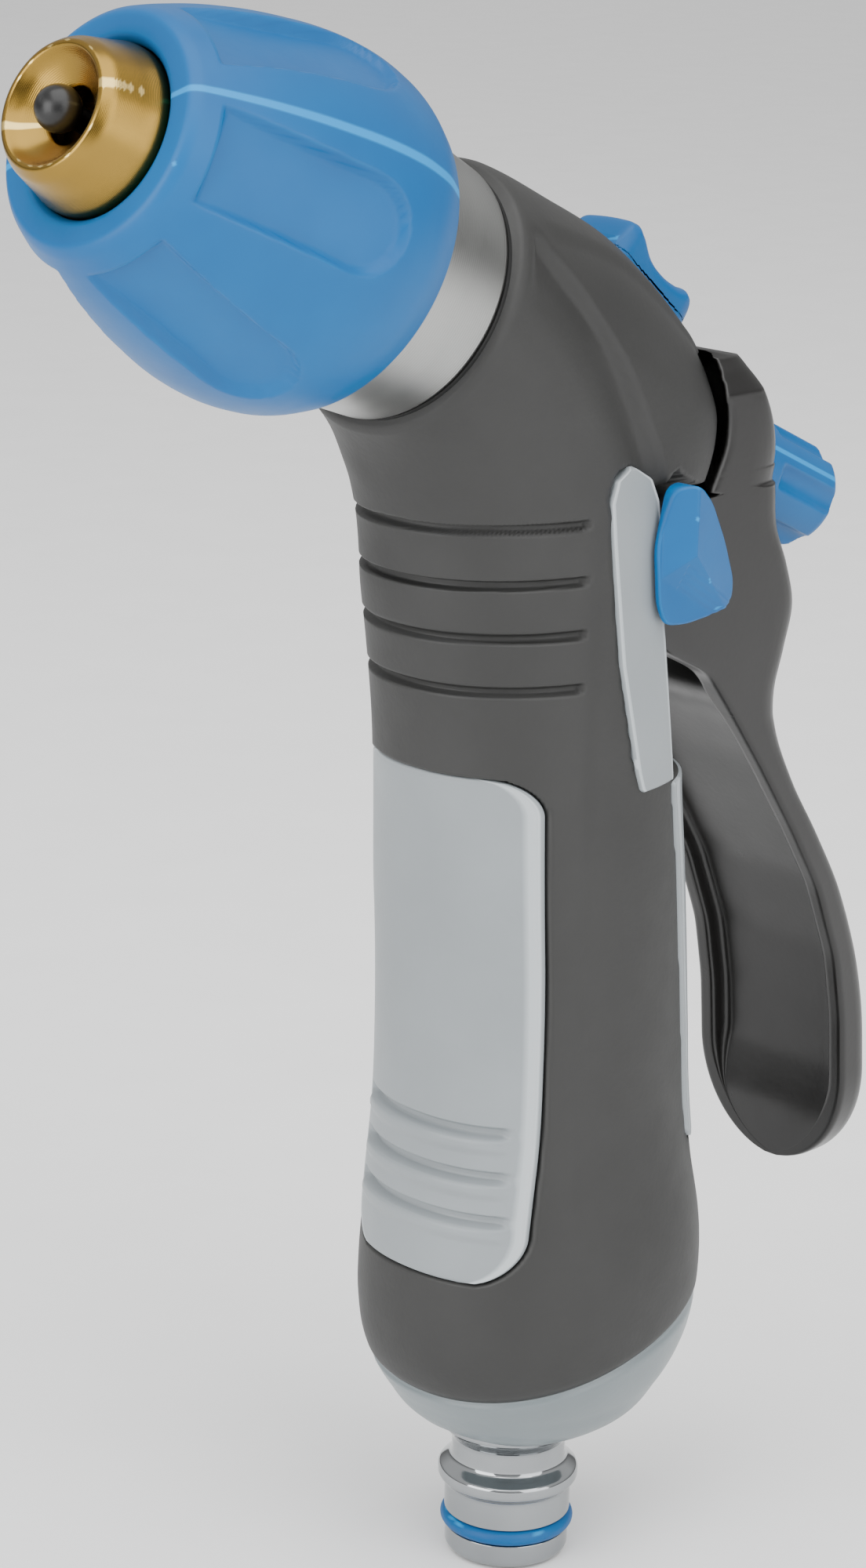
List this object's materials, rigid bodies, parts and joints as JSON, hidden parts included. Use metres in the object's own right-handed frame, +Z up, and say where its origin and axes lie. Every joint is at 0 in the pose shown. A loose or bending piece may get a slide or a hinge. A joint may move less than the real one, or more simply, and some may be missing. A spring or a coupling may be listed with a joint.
{
  "type": "hose spray nozzle",
  "caption": "Pistol-grip garden hose nozzle with a twisting spray head, rear trigger, side lock lever, thumb slide, rear flow knob and click hose connector.",
  "frame": {"origin": "centre of the hose connector's end face", "axes": "+Z up the handle and connector axis, +X towards the spray, +Y the holder's left"},
  "size_m": [0.1262, 0.04, 0.1863],
  "materials": {
    "zinc_casting": "as-cast, painted where wet",
    "grip_rubber": "soft-touch satin",
    "light_plastic": "satin",
    "bezel_plastic": "satin silver",
    "chrome": "polished",
    "brushed_collar": "brushed",
    "brass": "turned",
    "blue_plastic": "satin",
    "blue_rubber": "soft",
    "trigger_plastic": "satin",
    "black_plastic": "satin",
    "black_rubber": "soft",
    "steel": "drawn",
    "white_plastic": "satin"
  },
  "bodies": {
    "handle": {"body_casting": "zinc_casting", "grip_shell": "grip_rubber", "front_panel": "light_plastic", "rear_frame": "light_plastic", "end_bezel": "bezel_plastic", "hose_connector": "chrome", "connector_oring": "blue_rubber", "connector_washer": "black_rubber", "filter_screen": "steel", "collar_gasket": "black_rubber", "collar_ring": "brushed_collar", "thread_sleeve": "brass", "sleeve_oring": "black_rubber", "nozzle_oring": "black_rubber", "spray_pin": "black_plastic", "valve_seat": "brass", "gland_seal": "black_rubber", "gland_nut": "brass", "trigger_pin": "steel", "pivot_washers": "white_plastic", "return_spring": "steel"},
    "trigger": {"trigger_lever": "trigger_plastic", "trigger_pad": "blue_rubber", "trigger_bushes": "white_plastic"},
    "stem": {"valve_stem": "steel", "valve_disc": "black_rubber", "spring_cup": "brass", "valve_nut": "brass", "thrust_washer": "steel"},
    "knob": {"flow_knob": "blue_plastic", "knob_insert": "brass"},
    "head": {"twist_head": "blue_rubber", "head_core": "white_plastic"},
    "nozzle": {"nozzle_tip": "brass"},
    "slider": {"thumb_slider": "blue_plastic", "slider_plate": "white_plastic"},
    "lock": {"lock_lever": "blue_plastic", "lock_shaft": "light_plastic"}
  },
  "joints": [
    {"name": "trigger_squeeze", "type": "hinge", "parent": "handle", "child": "trigger", "pos_m": [-0.008, 0, 0.124], "axis": [0, -1, 0], "range_deg": [0, 14.9]},
    {"name": "stem_pull", "type": "slide", "parent": "handle", "child": "stem", "axis": [-0.9063, 0, -0.4226], "range_m": [0, 0.00508], "stiffness_N_per_m": 1200, "springref_m": -0.007, "deforming": ["return_spring"]},
    {"name": "knob_turn", "type": "hinge", "parent": "stem", "child": "knob", "pos_m": [-0.03807, 0, 0.12655], "axis": [-0.9063, 0, -0.4226], "range_deg": [-180, 180]},
    {"name": "head_twist", "type": "hinge", "parent": "handle", "child": "head", "pos_m": [0.04532, 0, 0.16543], "axis": [0.9063, 0, 0.4226], "range_deg": [-90, 270]},
    {"name": "nozzle_advance", "type": "slide", "parent": "handle", "child": "nozzle", "axis": [0.9063, 0, 0.4226], "range_m": [-0.001, 0.003]},
    {"name": "thumb_slide", "type": "slide", "parent": "handle", "child": "slider", "axis": [0.766, 0, 0.6428], "range_m": [0, 0.005]},
    {"name": "lock_swing", "type": "hinge", "parent": "handle", "child": "lock", "pos_m": [-0.006, 0.018, 0.1296], "axis": [0, 1, 0], "range_deg": [0, 60]}
  ],
  "couplings": [
    {"joint": "trigger_squeeze", "follows": "stem_pull", "rad_per_m": 48.077},
    {"joint": "head_twist", "follows": "nozzle_advance", "rad_per_m": 1570.8}
  ]
}
